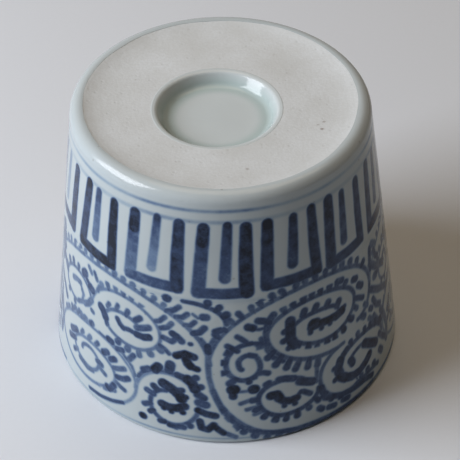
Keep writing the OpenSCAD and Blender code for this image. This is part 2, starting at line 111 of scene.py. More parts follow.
# Heavy strokes where the brush was pressed: half width, strength, and the points that the brush passes.
COMMAS = (
    (1.15, 0.82, ((-47.6, 28), (-46.4, 27.4), (-45.2, 26))),
    (0.8, 0.72, ((-45, 25.6), (-44.3, 24.4))),
    (0.7, 0.66, ((-44.4, 29.3), (-43.6, 30.3))),
    (0.7, 0.64, ((-40.2, 30.2), (-39.6, 31.3))),
    (0.8, 0.7, ((-35.9, 29.9), (-35.2, 31.1))),
    (0.85, 0.74, ((-32.2, 29.5), (-30.2, 30.7))),
    (0.9, 0.72, ((-31.5, 27.7), (-28.8, 28.4), (-26.8, 29))),
    (0.95, 0.88, ((-31.6, 26), (-29, 25.9), (-26.7, 26.4))),
    (0.8, 0.82, ((-39.6, 27.6), (-38.4, 26.6), (-37, 26))),
    (0.7, 0.76, ((-37.5, 26), (-34.5, 26.3), (-31.5, 26))),
    (0.85, 0.6, ((-57.3, 20.6), (-56.4, 21))),
    (0.95, 0.64, ((-53, 20.9), (-52, 21.3))),
    (1.0, 0.78, ((-43.4, 20.5), (-42, 20.3))),
    (0.85, 0.7, ((-39.6, 19.3), (-37.2, 19.7))),
    (0.8, 0.66, ((-34.5, 18), (-32.6, 19.8))),
    (1.0, 0.7, ((-61.5, 14.8), (-65.5, 13.2))),
    (0.9, 0.68, ((-62.5, 12), (-66.5, 10.9))),
    (0.75, 0.6, ((-60.5, 9.8), (-62.8, 8.6))),
    (0.8, 0.6, ((-58.5, 8.3), (-54, 7.7), (-51, 8.2))),
    (0.75, 0.56, ((-58.2, 15.6), (-57.3, 16.6))),
    (0.8, 0.58, ((-53.8, 16.2), (-52.8, 17.1))),
    (0.75, 0.64, ((-49.8, 16.2), (-48.6, 17.2))),
    (1.0, 0.76, ((-45.6, 15.9), (-44, 16.6))),
    (0.9, 0.74, ((-42.4, 15.2), (-40.4, 16))),
    (0.75, 0.64, ((-41, 13.3), (-38.5, 14), (-36.2, 14.8))),
    (0.85, 0.74, ((-39.3, 11.4), (-36.5, 11.8), (-34.6, 12.6))),
    (0.7, 0.64, ((-39.5, 9.8), (-37.8, 9.2), (-36, 8.8))),
    (0.95, 0.78, ((-40.5, 8.5), (-42, 6.9))),
    (0.9, 0.82, ((-43.4, 7), (-42.6, 6.6))),
    (0.85, 0.66, ((-48.6, 12), (-46.5, 11.8))),
    (0.7, 0.6, ((-47, 10.6), (-44.6, 9.9))),
    (0.55, 0.8, ((-52, 2.5), (-46, 2.9), (-41, 3.8), (-36.5, 5))),
    (1.25, 0.74, ((-58.2, 32.6), (-57.2, 33.2))),
    (1.2, 0.78, ((-53.8, 30.7), (-52.6, 30.4))),
    (0.7, 0.7, ((-56.5, 32), (-54, 31))),
    (0.8, 0.56, ((-66, 27.9), (-63.3, 28.7), (-60.3, 29))),
    (0.7, 0.56, ((-59, 27.6), (-58, 26.8))),
    (0.7, 0.6, ((-61, 23.6), (-57.5, 24.9))),
    (0.7, 0.6, ((-52.6, 24.8), (-51.8, 24.6))),
    (1.0, 0.72, ((-28.6, 17), (-26.8, 17.7))),
    (1.25, 0.88, ((-24.4, 18.2), (-23.2, 19.2))),
    (1.25, 0.8, ((-19.4, 19), (-18.9, 20.6))),
    (0.95, 0.86, ((-16.5, 18.2), (-13.5, 17.6))),
    (1.3, 0.94, ((-13.2, 17.5), (-11.6, 16.6), (-10.6, 15))),
    (0.9, 0.86, ((-11.4, 17.6), (-10.2, 18.2))),
    (0.9, 0.84, ((-10.2, 15.6), (-8.6, 15.8))),
    (1.1, 0.78, ((-9.6, 13.6), (-8, 12.8))),
    (1.1, 0.76, ((-9.4, 11.4), (-7.2, 10.9))),
    (0.95, 0.95, ((-9.6, 9.2), (-7, 8.4), (-4.2, 8))),
    (0.9, 0.96, ((-9.2, 6.2), (-8.6, 4.4), (-6.6, 4), (-4.7, 5.4))),
    (0.85, 0.93, ((-4.7, 5.2), (-3.3, 4.2), (-1.6, 3.2))),
    (0.7, 0.62, ((-1.6, 3.4), (0.5, 2.6), (2.2, 2))),
    (0.8, 0.86, ((-22.4, 4.2), (-21, 4.3))),
    (0.8, 0.84, ((-19.2, 3.7), (-17.6, 3.6))),
    (0.85, 0.86, ((-16.2, 3.8), (-14.6, 3.8))),
    (0.75, 0.9, ((-26, 6), (-25, 6.6))),
    (0.8, 0.76, ((-28.2, 7.6), (-26, 8.3))),
    (0.85, 0.78, ((-27.2, 11.8), (-25, 11.2))),
    (0.95, 0.8, ((-24.8, 13.5), (-23.6, 12.8))),
    (1.35, 0.97, ((-21.4, 15), (-19.4, 14.4), (-17.4, 13.6), (-15.8, 12.6), (-15.2, 11.8))),
    (0.8, 0.94, ((-15.6, 12.6), (-13.8, 12.4))),
    (0.8, 0.94, ((-16.6, 14), (-15, 14.2))),
    (1.12, 0.97, ((-21.8, 9.2), (-19.6, 8.7), (-16.6, 8.9), (-14.2, 9.8))),
    (0.7, 0.93, ((-18.9, 8.6), (-18.6, 7.6))),
    (0.8, 0.95, ((-15.4, 8.9), (-14.8, 8))),
    (0.8, 0.96, ((-21, 8.8), (-21.2, 8.2))),
    (0.75, 0.7, ((-20.4, 34.9), (-18, 35.3), (-15.8, 36.6))),
    (0.75, 0.72, ((-17.1, 33.8), (-14.6, 34), (-12.9, 35))),
    (0.7, 0.7, ((-14, 32.1), (-12, 32.1), (-10.4, 33.2))),
    (0.9, 0.76, ((-10.9, 30.2), (-8.9, 30.6), (-7.2, 31.8))),
    (0.45, 0.66, ((-11, 35.2), (-9.4, 34.4), (-7.1, 34.4))),
    (1.0, 0.74, ((-7.6, 34.7), (-6.4, 34.7))),
    (0.7, 0.68, ((-24.4, 31.3), (-22.9, 31.7), (-20.9, 33.1))),
    (0.75, 0.72, ((-22.4, 29.9), (-19.9, 30.6), (-18.5, 31.8))),
    (0.8, 0.76, ((-21.5, 27.6), (-18.5, 27), (-16.6, 28.2))),
    (0.95, 0.8, ((-18.2, 29.2), (-16.6, 28.6), (-15, 27.6))),
    (0.65, 0.72, ((-22.8, 25.3), (-21, 24.6), (-19.4, 23.6))),
    (1.0, 0.98, ((-16.9, 23.5), (-13.8, 24.4), (-10.9, 23.8))),
    (1.1, 0.98, ((-13.7, 23.4), (-12.9, 21.8), (-12, 21.2))),
    (0.85, 0.97, ((-12.6, 21.2), (-9.8, 20.6))),
    (0.95, 0.82, ((-6.2, 27), (-6, 25.4))),
    (0.6, 0.62, ((-8.4, 28.8), (-6.6, 27.2))),
    (0.95, 0.74, ((-3.4, 31), (-1.6, 31.4))),
    (0.7, 0.6, ((-3.6, 29.4), (-5, 27.6))),
    (0.75, 0.74, ((3.8, 29.6), (5, 29), (6.6, 28))),
    (0.8, 0.78, ((0.4, 27.2), (1.8, 26.6), (3.6, 25.8))),
    (0.6, 0.74, ((6.2, 27.7), (9, 27.4), (11.5, 27.2), (13.4, 26.2))),
    (0.7, 0.7, ((12, 27.4), (11.9, 28.4))),
    (0.8, 0.76, ((9.4, 24), (7.6, 24.4))),
    (0.8, 0.76, ((10.6, 19.2), (12, 19.2), (13.6, 18.8))),
    (0.95, 0.95, ((1.7, 14.6), (1.8, 13.4))),
    (0.45, 0.6, ((3, 14.6), (7.5, 14.7))),
    (0.62, 0.6, ((4.2, 11.3), (7, 12), (9.8, 12.5))),
    (0.6, 0.64, ((6.2, 9.5), (8.5, 9.9), (10.4, 10))),
    (0.6, 0.62, ((8.6, 8), (10.8, 8.4))),
    (1.05, 0.86, ((7.6, 31.9), (9.2, 31.5))),
    (0.5, 0.7, ((9.6, 31.1), (11.5, 30.9), (13, 31))),
    (0.95, 0.76, ((11, 33.2), (13, 32.9), (15, 32.2))),
    (1.0, 0.7, ((16.5, 34), (14.8, 32.6), (14, 30.8))),
    (1.15, 0.8, ((24.4, 14.3), (26.6, 13.6), (29.2, 12.9))),
    (0.95, 0.8, ((17.2, 16.4), (19.5, 16.2), (22.4, 15.6))),
    (0.9, 0.74, ((12.8, 15.7), (13.8, 16))),
    (1.2, 0.93, ((14.3, 12.4), (16.2, 12.4), (17, 11.3))),
    (1.05, 0.9, ((16.6, 11.4), (18.5, 10.2), (20.6, 9.8), (23, 10))),
    (0.6, 0.8, ((23, 10.2), (24.6, 11.4))),
    (0.7, 0.86, ((18.7, 9.6), (18.6, 8.8))),
    (0.75, 0.84, ((22, 9.4), (22.3, 8.6))),
    (0.75, 0.74, ((25.4, 11.2), (28, 9.8))),
    (0.6, 0.62, ((31.4, 19), (31, 15), (30.6, 12.4))),
    (1.0, 0.8, ((32.2, 10), (32.8, 8.6))),
    (0.9, 0.74, ((31, 4.6), (32, 4))),
    (1.35, 0.86, ((22.4, 31.2), (22.2, 29), (22, 26.6), (23.4, 24.6))),
    (0.85, 0.82, ((21.4, 29.2), (20, 28.8))),
    (0.85, 0.84, ((21.2, 26.8), (19.4, 26.4))),
    (0.8, 0.8, ((22.6, 25), (21.2, 24.2))),
    (1.0, 0.76, ((27.2, 31.6), (27.8, 32.6))),
    (1.0, 0.76, ((31.8, 31.6), (32.6, 32.6))),
    (1.0, 0.78, ((36.8, 31.2), (37.6, 32))),
    (1.0, 0.76, ((41.4, 29.7), (42.4, 30.6))),
    (1.45, 0.97, ((30.8, 28.2), (32, 28.1))),
    (1.1, 0.9, ((30, 27.6), (33.4, 27.6), (37, 27.3), (40, 27.3))),
    (1.25, 0.9, ((40.6, 27.2), (43.4, 27.6))),
    (0.7, 0.84, ((43.4, 28), (44.8, 28.2))),
    (0.75, 0.88, ((29.7, 27), (29.6, 26.3))),
    (0.75, 0.84, ((34, 27), (34.1, 26.2))),
    (0.75, 0.82, ((37.6, 26.9), (37.8, 26.2))),
    (0.95, 0.74, ((50.4, 33.2), (52, 32.8))),
    (1.0, 0.76, ((53, 30.6), (54.8, 29.7))),
    (0.8, 0.7, ((50.4, 28), (52.6, 27.2), (55, 26.2))),
    (0.8, 0.68, ((49.6, 26), (51, 25))),
    (1.0, 0.76, ((46.6, 24.2), (48, 23.4))),
    (0.95, 0.74, ((42.4, 35.8), (44.6, 35.4))),
    (1.0, 0.66, ((53.6, 21.6), (54.8, 20.9))),
    (0.8, 0.62, ((55.6, 24), (57.2, 23))),
    (0.9, 0.62, ((58.8, 21.2), (60, 20.6))),
    (1.3, 0.86, ((41, 14.6), (39.6, 12.4), (40.6, 10), (42.6, 8.8))),
    (1.2, 0.82, ((42.6, 8.8), (46, 7.8), (49.5, 7.6), (53, 8.4), (55.6, 9.4))),
    (0.8, 0.8, ((39.4, 13.4), (37.9, 13.2))),
    (0.8, 0.8, ((39.4, 10.6), (38, 10))),
    (0.9, 0.8, ((42.4, 15.6), (44.4, 16.4))),
    (1.25, 0.82, ((53.4, 13.8), (57, 12), (60.4, 10.4))),
    (1.1, 0.82, ((45.6, 12.6), (46.4, 11.4))),
    (1.0, 0.62, ((62.6, 7.2), (64, 6))),
    (0.9, 0.72, ((36.5, 6), (40, 4.9), (46, 4.2), (52, 3.9), (56, 3))),
    (1.1, 0.62, ((61.5, 32.5), (66, 29.8), (70, 28.4), (74, 27))),
    (1.0, 0.62, ((60.5, 25.8), (66, 23.1), (71.2, 21.2), (75, 19.5))),
    (1.2, 0.56, ((64.2, 27.8), (65.4, 27.6))),
    (1.1, 0.56, ((64.2, 36.8), (65.6, 36.2))),
    (1.0, 0.58, ((66.5, 17), (69, 14), (70.5, 10.5), (69, 7))),
    (0.9, 0.66, ((62.6, 36.4), (61.9, 33.6), (61.6, 31))),
    (0.9, 0.64, ((65.6, 34.6), (66.4, 32.6), (68.6, 31.4))),
    (0.9, 0.64, ((61.4, 22.6), (63.5, 20), (66.5, 18.6))),
    (0.9, 0.66, ((60.8, 18), (63, 15.6), (66, 14))),
    (0.9, 0.64, ((63.4, 11.4), (66, 9.2), (68, 8))),
    (0.8, 0.62, ((57.6, 19), (59.6, 17.6), (61, 15.4))),
    (0.75, 0.72, ((14, 2), (22, 1.3), (34, 1), (46, 1), (56, 1.1))),
    (0.62, 0.68, ((-30.6, 14.6), (-28.4, 16.9), (-25, 18.2), (-20, 18.5), (-15, 18.1))),
    (0.5, 0.6, ((-48, 20.5), (-42, 20), (-37, 18.9), (-33.2, 16.6), (-31.8, 14.4))),
    (0.7, 0.6, ((-6.1, 26), (-6.2, 22), (-5.9, 18.5), (-4.9, 15.2))),
    (0.55, 0.68, ((3.2, 26.6), (0.6, 24.8), (-0.5, 22.2), (0.4, 19.4), (3, 17.9), (6.4, 17.4), (9.4, 18.1))),
    (0.75, 0.68, ((15, 33.2), (13.6, 30.6), (13.2, 28), (13.8, 25.2), (15.6, 22.8), (19, 21.2))),
    (0.8, 0.68, ((-4.8, 15), (-3.4, 12.4), (-1.6, 9.6), (1, 6.9), (4.4, 4.7), (8.4, 3.1), (14, 2))),
    (0.7, 0.6, ((-55, 35.8), (-53.4, 34.8))),
    (0.7, 0.62, ((-51.6, 35.6), (-50.2, 34.2))),
    (0.9, 0.72, ((33.4, 6.8), (35.6, 6))),
    (0.85, 0.7, ((34.6, 3.6), (37, 3.2))),
    (0.85, 0.68, ((40.6, 3.2), (43, 2.9))),
    (0.9, 0.6, ((-57, 24.8), (-54.6, 25.8), (-52.8, 27.6))),
    (0.7, 0.56, ((-49.6, 31.6), (-48.6, 33))),
    (0.8, 0.6, ((-71.6, 16.4), (-68.6, 18))),
    (0.75, 0.58, ((-66, 18.4), (-63.6, 20.4))),
    (0.75, 0.6, ((-61.6, 19.6), (-60.4, 21))),
)

# Round dabs: angle, height, half width, strength.
DABS = (
    (-20.4, 38.2, 1.1, 0.84),
    (1.8, 15.3, 1.45, 0.97),
    (8.5, 15, 1.3, 0.96),
    (-12.1, 27.2, 0.6, 0.88),
    (-28.8, 4, 0.95, 0.93),
)

# Lappets that were brushed one by one, at the front: angles of the left leg, the bar and the right leg, each
# at its top and at its foot, heights of the lower edge and of the bar's end, then strengths of the left leg
# at its top and foot, of the base, of the right leg and of the bar at its top and foot.
FRONT_LAPPETS = (
    (-84.0, -88.5, -75.4, -78.1, -66.8, -68.9, 39.7, 43.9, 0.5, 0.45, 0.7, 0.86, 0.34, 0.3),
    (-56.6, -60.0, -50.7, -52.1, -42.4, -43.2, 39.7, 43.8, 0.93, 0.86, 0.97, 1.0, 0.74, 0.55),
    (-32.8, -34.7, -23.8, -26.1, -15.6, -16.7, 40.1, 43.8, 1.0, 0.54, 0.76, 0.88, 0.8, 0.42),
    (-6.8, -9.1, 1.7, 0.2, 8.2, 7.6, 39.6, 43.4, 1.0, 0.66, 0.78, 0.94, 0.93, 0.66),
    (16.0, 14.8, 25.9, 24.6, 33.4, 34.0, 40.6, 44.5, 1.0, 0.8, 0.78, 0.86, 0.9, 0.74),
    (41.3, 40.5, 48.3, 47.5, 57.2, 57.0, 40.2, 43.7, 0.92, 0.8, 0.78, 0.8, 0.84, 0.72),
)
LAPPETS_ROUND = 14

# A lappet at the back: angles from its left leg to its bar and its right leg, how far the three lean from top
# to foot, heights of its lower edge and of the bar's end, and its strengths in the order above.
BACK_BAR, BACK_RIGHT = 8.6, 16.6
BACK_LEAN = (-1.6, -1.2, -0.4)
BACK_LOW, BACK_BAR_END = 39.7, 43.7
BACK_SHADES = (0.92, 0.66, 0.74, 0.8, 0.8, 0.6)

# How a lappet is brushed: mean and spread of its strokes' tops against the band line and heights where the
# strokes change, in millimetres, half width of its corners, range of its strokes' widths as factors, and how
# the pressure on the brush goes along each stroke.
STROKE_TOPS = (-1.1, 0.3)
DRY_FROM, DRY_TO = 53.6, 52.2
RIGHT_BEND, BAR_BEND = 49.5, 51.0
CORNER = 0.7 * MM
CORNER_RISE = 1.6
STROKE_WIDTHS = (0.95, 1.12)
LEFT_PRESSURE = (0.92, 1.0, 1.0, 1.08)
RIGHT_PRESSURE = (1.08, 1.04, 0.9)
BAR_PRESSURE = (0.7, 0.82, 0.88)

# Ring lines: half width, strength, and how far the hand wavers up and down.
FOOT_LINE = (0.42 * MM, 0.32, 0.08 * MM)
BAND_LINE = (0.5 * MM, 0.24, 0.1 * MM)
LIP_LINE = (0.22 * MM, 0.3, 0.1 * MM)
FAINT_LINE = (0.45 * MM, 0.08, 0.1 * MM)

# Heights of the faint line between lappets and scrolls, as brushed on the band and on the fields.
FAINT_ON_BAND = 38.75 * MM
FAINT_ON_FIELD = 38.5 * MM

# How a scroll's strokes are brushed: steps in a quarter of a line, half width from which a line grows
# outwards, share of a pair's narrowing that its strokes follow, and degrees that strokes may run past it.
QUARTER = 12
THIN_LINE = 0.5 * MM
STROKE_SHARE = 0.3
OVERHANG = 20

# How teeth stray: lean, ranges of thickness, reach and strength, shortest reach, and thickness at the root.
TOOTH_LEAN = 0.14
TOOTH_THICK = (0.9, 1.12)
TOOTH_REACH = (0.9, 1.1)
TOOTH_DARK = (1.03, 1.2)
TOOTH_SHORTEST = 0.3 * MM
TOOTH_ROOT = 0.85

# Heights that part the outer glaze into its zones, heights at which the zones' strokes are measured, and
# points of the zones' grids.
BAND_TOP = 62.3 * MM
FIELD_TOP = 38.2 * MM
FIELD_END = 0.25 * MM
BAND_MIDDLE = 50 * MM
FIELD_MIDDLE = 20 * MM
BAND_GRID = (951, 97)
FRONT_GRID = (441, 173)
BACK_GRID = (301, 151)

# Specks in the bare ring: place across and back from the middle and half width, in millimetres, and strength.
IRON_SPOTS = (
    (21.9, -6.9, 0.28, 0.6),
    (20.6, -7.8, 0.24, 0.5),
    (21.4, -9.4, 0.32, 0.8),
    (5.3, -22.3, 0.34, 0.4),
    (14.6, 10.7, 0.24, 0.3),
    (-18.5, 9.0, 0.2, 0.25),
    (-9.5, -19.5, 0.22, 0.25),
    (12.0, 17.5, 0.2, 0.25),
)

# Share of the light that comes back through ink, from none to the deepest.
INK_STOPS = (
    (0.0, (1, 1, 1)),
    (0.2, (0.70, 0.78, 0.88)),
    (0.45, (0.29, 0.39, 0.60)),
    (0.7, (0.092, 0.14, 0.29)),
    (1.0, (0.02, 0.028, 0.054)),
)

# Range that most of a noise texture's values lie in, and angle from which an edge is sharp.
NOISE_SPAN = (0.3, 0.7)
SHARP_EDGE = np.radians(40)

# Lamps: place, width and colour. The room: colour of its light, and colour that is seen and mirrored.
WINDOW = ((-0.6, -0.12, 0.42), 0.46, (0.902, 0.937, 1.0))
CEILING = ((0.1, 0.25, 1.3), 1.0, (1.0, 0.798, 0.563))
LAMP_AIM = (0, 0, 35 * MM)
ROOM_LIGHT = (1.0, 0.82, 0.62)
ROOM_SEEN = (0.6, 0.62, 0.65)


def number(name, description, default, unit="NONE"):
    """A number that a user may change."""
    return FloatProperty(name=name, description=description, default=default, unit=unit)


def length(name, description, default):
    """A length in metres that a user may change."""
    return number(name, description, default, "LENGTH")


def offset(name, description, default):
    """A shift across the cup or a point in space, in metres."""
    return FloatVectorProperty(
        name=name, description=description, size=len(default), default=default, subtype="TRANSLATION")


def colour(name, description, default):
    """A colour that a user may change."""
    return FloatVectorProperty(
        name=name, description=description, size=3, default=default, subtype="COLOR", min=0, max=1)


class CupShape(PropertyGroup):
    """Sizes of the thrown cup."""
    mouth: length("Mouth", "Width across the lip", 80 * MM)
    foot: length("Foot", "Width of the wall carried up to the top", 64.6 * MM)
    height: length("Height", "Height from the lip to the foot rim", CAD_HIGH.z)
    lip: length("Lip", "Thickness of the wall at the lip", 2.8 * MM)
    lip_round: length("Lip rounding", "Radius of the lip's edges", 0.9 * MM)
    inner_taper: number("Inner taper", "Inward run of the inner wall for each unit of height", 0.15)
    floor_height: length("Inner floor", "Height of the inner floor over the lip", 57 * MM)
    floor_round: length("Floor rounding", "Radius between the inner wall and floor", 9 * MM)
    glaze: length("Glaze", "Thickness of the glaze", 0.35 * MM)
    lean: offset("Lean", "How far the mouth sits off the middle of the foot", (0.8 * MM, -0.4 * MM))


class FootShape(PropertyGroup):
    """Sizes of the foot rim, the bare ring and the well."""
    shoulder: length("Shoulder", "Radius of the outer edge of the foot", 2.4 * MM)
    ring_drop: length("Ring drop", "Depth of the bare ring under the rim", 1.2 * MM)
    ring: length("Ring", "Outer width of the bare ring", 59.2 * MM)
    dish: length("Dish", "Rise of the bare ring from the well to the rim", 1.12 * MM)
    well: length("Well", "Width of the sunk well", 25.4 * MM)
    well_drop: length("Well depth", "Depth of the well under the ring", 2.8 * MM)
    well_edge: length("Well edge", "Radius of the well's upper edge", 1.1 * MM)
    well_slope: number("Well slope", "Steepness of the well's wall", np.radians(58), "ROTATION")
    well_bend: length("Well bend", "Radius at the foot of the well's wall", 1.8 * MM)
    well_off: offset("Well offset", "How far the well sits off the middle", (-0.77 * MM, -1.3 * MM))


class BrushWork(PropertyGroup):
    """How the cobalt was brushed on."""
    softness: length("Softness", "Width over which a stroke fades out", 0.78 * MM)
    line_weight: number("Line weight", "Fullness of the scrolls' lines", 1.15)
    tooth_weight: number("Tooth weight", "Length and fullness of the scrolls' teeth", 1.2)
    tooth_gap: length("Tooth gap", "Distance from tooth to tooth", 2.4 * MM)
    leg: length("Lappet leg", "Width of the lappets' legs", 2.65 * MM)
    base: length("Lappet base", "Width of the lappets' lower stroke", 2.8 * MM)
    foot_line: length("Foot line", "Height of the ring line under the shoulder", 61.3 * MM)
    band_line: length("Band line", "Height of the ring line over the lappets", 58.6 * MM)
    lip_line: length("Lip line", "Height of the ring line at the lip", 1.5 * MM)
    seed: IntProperty(name="Hand", description="Seed of the small unevenness of the hand", default=7)


class GlazeColours(PropertyGroup):
    """Colours of clay and glaze."""
    glaze: colour("Clear glaze", "Colour of clear glaze over porcelain", (0.465, 0.512, 0.522))
    glaze_deep: colour("Deep glaze", "Colour where the clear glaze runs thick", (0.41, 0.47, 0.495))
    celadon: colour("Green glaze", "Colour of the glaze in the well", (0.54, 0.585, 0.59))
    clay: colour("Bare clay", "Colour of the wiped ring", (0.589, 0.616, 0.633))
    iron: colour("Iron speck", "Colour of the specks in the clay", (0.14, 0.09, 0.06))


class StageSettings(PropertyGroup):
    """Floor, light and camera."""
    floor: colour("Floor", "Colour of the floor", (0.7, 0.73, 0.775))
    window: number("Window", "Power of the large soft light on the left", 6.64, "POWER")
    ceiling: number("Ceiling", "Power of the weak warm light from above", 4.95, "POWER")
    room: number("Room", "Strength of the warm light from all round", 0.004)
    lens: number("Lens", "Focal length of the camera in millimetres", 144.73)
    camera_at: offset("Camera", "Place of the camera", (0.0, -316.54 * MM, 306.47 * MM))
    aim: offset("Aim", "Point that the camera looks at", (1.754 * MM, 0.0, 27.635 * MM))
    roll: number("Roll", "Turn of the camera about its view", np.radians(0.6096), "ROTATION")


def ease(x):
    """Rises from 0 to 1 as x does, level at both ends: 3x squared less 2x cubed."""
    x = np.clip(x, 0.0, 1.0)
    return x * x * (3 - 2 * x)


def waves(turn, *terms):
    """Sum of sine waves round the cup, each with its count, phase and height."""
    return sum(height * np.sin(count * turn + phase) for count, phase, height in terms)


def arc(centre, radius, start, end, count):
    """Points of a circle round the centre, from one angle to another, as radius and height."""
    turn = np.linspace(start, end, count)
    return np.stack([centre[0] + radius * np.cos(turn), centre[1] + radius * np.sin(turn)], -1)


def full_circle(steps):
    """Angles in degrees of a full turn in equal steps, from the back round the front."""
    return np.linspace(-180, 180, steps + 1)


def wall_radius(shape, z):
    """Straight taper from the mouth to the foot."""
    return (shape.mouth + (shape.foot - shape.mouth) * z / shape.height) / 2


def wall_tilt(shape):
    """Angle by which the wall's face looks upwards."""
    return np.arctan((shape.mouth - shape.foot) / 2 / shape.height)


def lip_centre(shape):
    """Radius of the middle of the circle that rounds the outer edge of the lip, and the height where it
    touches the wall."""
    tilt, r = wall_tilt(shape), shape.lip_round
    touch = r + r * np.sin(tilt)
    return wall_radius(shape, touch) - r * np.cos(tilt), touch


def outer_radius(shape, z):
    """The wall's radius, drawn in along the circle that rounds the lip."""
    r = shape.lip_round
    centre, touch = lip_centre(shape)
    rounded = centre + np.sqrt(np.clip(r * r - (r - z) ** 2, 0, None))
    return np.where(z < touch, rounded, wall_radius(shape, z))


def ring_height(shape, foot, radius):
    """Height of the bare ring, which is gently dished, with the square of the way across, and turns up at
    the rim, with its sixth power."""
    across = np.clip((radius - foot.well / 2) / (foot.ring / 2 - foot.well / 2), 0, 1)
    return shape.height - foot.ring_drop + foot.dish * (0.35 * across ** 2 + 0.65 * across ** 6)


def well_path(shape, foot, sink):
    """Outline of the well from the ring inwards: rounded edge, straight wall, rounded foot and a floor that
    rises a little to the middle, all moved down and out by the sink."""
    top = shape.height - foot.ring_drop - sink
    deep = top - foot.well_drop
    edge, bend, slope = foot.well_edge, foot.well_bend, foot.well_slope
    over = arc((foot.well / 2 + sink + edge, top - edge), edge, np.pi / 2, np.pi / 2 + slope, 12)
    fall = over[-1, 1] - deep - bend * (1 - np.cos(slope))
    centre = over[-1, 0] - fall / np.tan(slope) - bend * np.sin(slope)
    under = arc((centre, deep + bend), bend, slope - np.pi / 2, -np.pi / 2, 12)
    wall = over[-1] + (under[0] - over[-1]) * np.linspace(0, 1, 8)[1:-1, None]
    flat_r = np.linspace(centre, 0, 18)[1:]
    flat = np.stack([flat_r, deep + 0.12 * MM * ease(1 - flat_r / centre)], -1)
    return np.concatenate([over, wall, under, flat])


def hand_thrown(shape, co):
    """Moves each slice sideways by its share of the lean: all of it at the mouth, none at the foot."""
    out = co.copy()
    out[:, :2] += (1 - co[:, 2] / shape.height)[:, None] * np.array(shape.lean)
    return out


def shell(path, thickness):
    """Closed outline of a skin: the path, then back along the path moved inwards by the thickness."""
    along = np.gradient(path, axis=0)
    along /= np.linalg.norm(along, axis=1, keepdims=True)
    inwards = np.stack([along[:, 1], -along[:, 0]], -1)
    return np.concatenate([path, (path + inwards * np.reshape(thickness, (-1, 1)))[::-1]])


def turned(outline, degrees, closed):
    """Carries an outline of radius and height round the axis, at angles in degrees from the front.
    Gives points and faces. A closed outline joins its end to its start, an open one starts and ends on the
    axis in single points. Where the angles stop short of a full turn, both ends are capped."""
    full = np.isclose(degrees[-1] - degrees[0], 360)
    turn = np.radians(degrees[:-1] if full else degrees)
    ring = outline if closed else outline[1:-1]
    n, m = len(turn), len(ring)
    x = np.sin(turn)[:, None] * ring[None, :, 0]
    y = -np.cos(turn)[:, None] * ring[None, :, 0]
    z = np.broadcast_to(ring[None, :, 1], x.shape)
    points = np.stack([x, y, z], -1).reshape(-1, 3)
    columns = np.arange(n if full else n - 1)
    rows = np.arange(m if closed else m - 1)
    i, j = (g.ravel() for g in np.meshgrid(columns, rows, indexing="ij"))
    beside, above = (i + 1) % n, (j + 1) % m
    faces = np.stack([i * m + j, i * m + above, beside * m + above, beside * m + j], -1).tolist()
    if not closed:
        ends = np.array([[0, 0, outline[0, 1]], [0, 0, outline[-1, 1]]])
        points = np.concatenate([points, ends])
        near, far = columns * m, (columns + 1) % n * m
        faces += np.stack([near, far, np.full(n, n * m)], -1).tolist()
        faces += np.stack([far + m - 1, near + m - 1, np.full(n, n * m + 1)], -1).tolist()
    if not full:
        faces += [np.arange(m)[::-1].tolist(), ((n - 1) * m + np.arange(m)).tolist()]
    return points, faces


def turned_skin(path, thickness, steps):
    """Turns a skin whose path ends on the axis: out along the path from the axis, and back to it along the
    skin's other side."""
    outline = shell(path, thickness)
    outline[len(path) - 1:len(path) + 1, 0] = 0
    return turned(np.roll(outline[::-1], -len(path), axis=0), full_circle(steps), False)


def face_outwards(points, faces):
    """Turns all faces round if the volume they enclose comes out negative."""
    corners = np.array([f[:3] for f in faces])
    p, q, r = (points[corners[:, c]] for c in range(3))
    weight = np.array([len(f) - 2 for f in faces])
    if np.sum(np.einsum("ij,ij->i", p, np.cross(q, r)) * weight) < 0:
        faces = [f[::-1] for f in faces]
    return faces


def new_object(name, points, faces, material):
    """A new object at the origin, from points, faces and one material."""
    mesh = bpy.data.meshes.new(name)
    mesh.from_pydata(points.tolist(), [], face_outwards(points, faces))
    mesh.materials.append(material)
    made = bpy.data.objects.new(name, mesh)
    bpy.context.scene.collection.objects.link(made)
    return made


def add_piece(name, points, faces, material, **values):
    """A piece of the cup that carries named values at its points, smooth but for its sharp edges."""
    piece = new_object(name, points, faces, material)
    mesh = piece.data
    for label, numbers in values.items():
        mesh.attributes.new(label, "FLOAT", "POINT").data.foreach_set("value", numbers.astype(np.float32))
    mesh.shade_smooth()
    mesh.set_sharp_from_angle(angle=SHARP_EDGE)
    mesh.validate()
    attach(piece, "root")
    return piece


